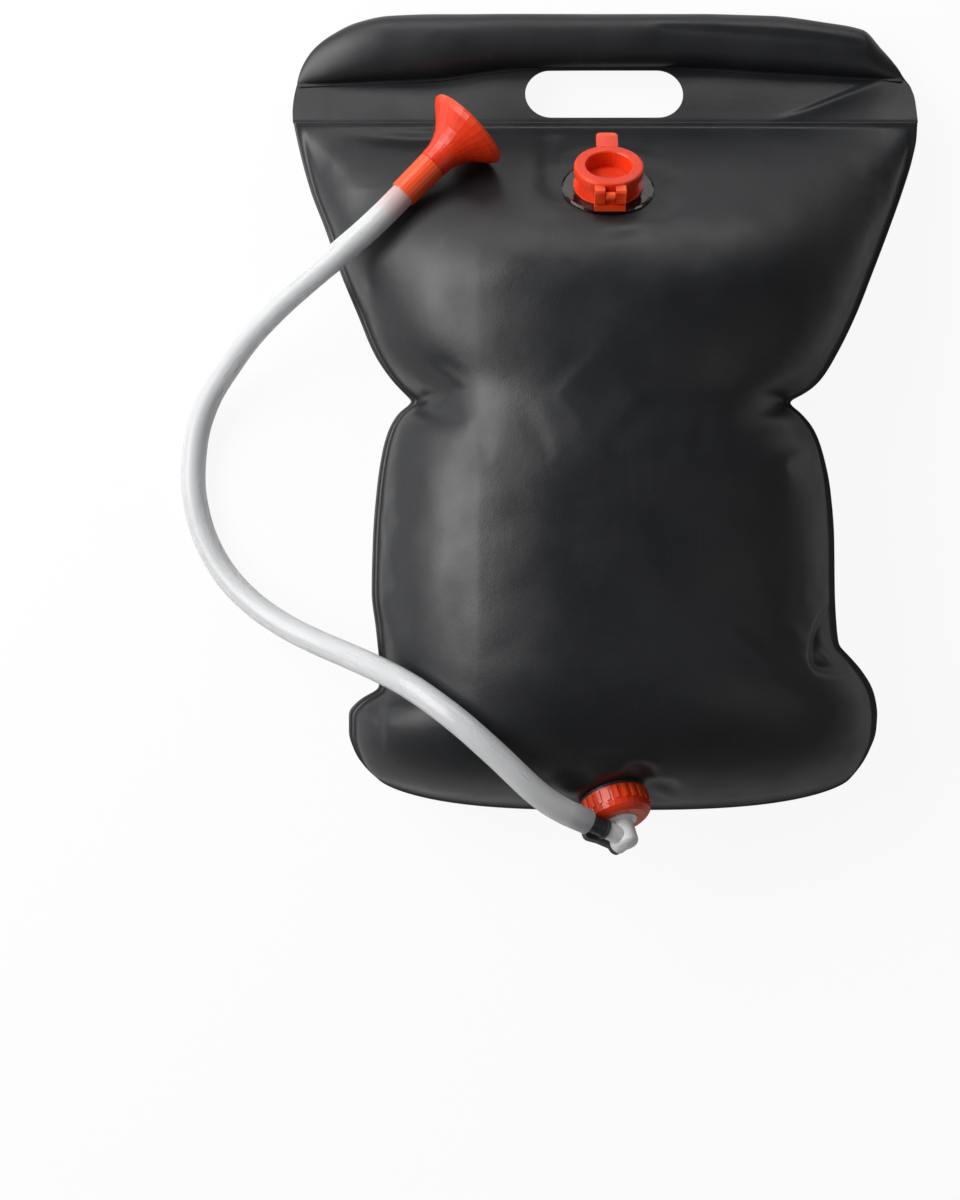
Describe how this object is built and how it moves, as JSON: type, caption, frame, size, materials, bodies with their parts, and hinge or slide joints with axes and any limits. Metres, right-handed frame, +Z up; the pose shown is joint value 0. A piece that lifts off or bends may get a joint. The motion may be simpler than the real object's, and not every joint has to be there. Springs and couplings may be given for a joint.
{
  "type": "camp shower bag",
  "caption": "Water-filled camp shower bag on its back, with a rod handle and hand slot, hinged fill cap, screwed tap with a stopcock, and a hose to a push-pull shower head.",
  "frame": {"origin": "middle of the footprint of the bag without its hose, on the surface that the back rests on", "axes": "+Z up out of the black front, +Y from the tap toward the handle, +X to the right as seen from the front"},
  "size_m": [0.4783, 0.5384, 0.1247],
  "materials": {
    "black_pvc": "satin black PVC sheet with a fine leathery grain, welded at its edges",
    "clear_pvc": "clear soft PVC flange, glossy",
    "red_plastic": "orange red moulded polyethylene, half gloss",
    "white_plastic": "natural white translucent polyethylene",
    "black_plastic": "black moulded plastic, satin",
    "clear_hose": "milky clear soft hose, glossy",
    "grey_rubber": "dark grey sealing rubber"
  },
  "bodies": {
    "bag": {"bag_back": "black_pvc", "bag_front": "black_pvc", "fill_flange": "clear_pvc", "fill_neck": "red_plastic", "handle_rod": "white_plastic", "handle_web": "black_pvc", "sleeve_back": "black_pvc", "sleeve_front": "black_pvc", "outlet_spout": "black_plastic", "outlet_gasket": "grey_rubber", "tap_body": "white_plastic", "hose_tail": "black_plastic", "hose": "clear_hose", "head_sleeve": "red_plastic"},
    "cap": {"fill_cap": "red_plastic"},
    "collar": {"outlet_collar": "red_plastic"},
    "stopcock": {"tap_cock": "black_plastic"},
    "shower_head": {"head_horn": "red_plastic", "head_plate": "red_plastic", "head_seal": "grey_rubber"}
  },
  "joints": [
    {"name": "fill_cap_hinge", "type": "hinge", "parent": "bag", "child": "cap", "pos_m": [-0.001, 0.13267, 0.10568], "axis": [1, 0, 0], "range_deg": [0, 140]},
    {"name": "collar_turn", "type": "hinge", "parent": "bag", "child": "collar", "pos_m": [0.00226, -0.23317, 0.07457], "axis": [0.2387, -0.8325, 0.5], "continuous": true},
    {"name": "tap_cock_turn", "type": "hinge", "parent": "bag", "child": "stopcock", "pos_m": [0.00947, -0.25831, 0.08967], "axis": [0.5548, 0.5395, 0.6334], "range_deg": [0, 90]},
    {"name": "shower_head_slide", "type": "slide", "parent": "bag", "child": "shower_head", "axis": [0.6925, 0.7171, -0.0785], "range_m": [0, 0.006]}
  ]
}
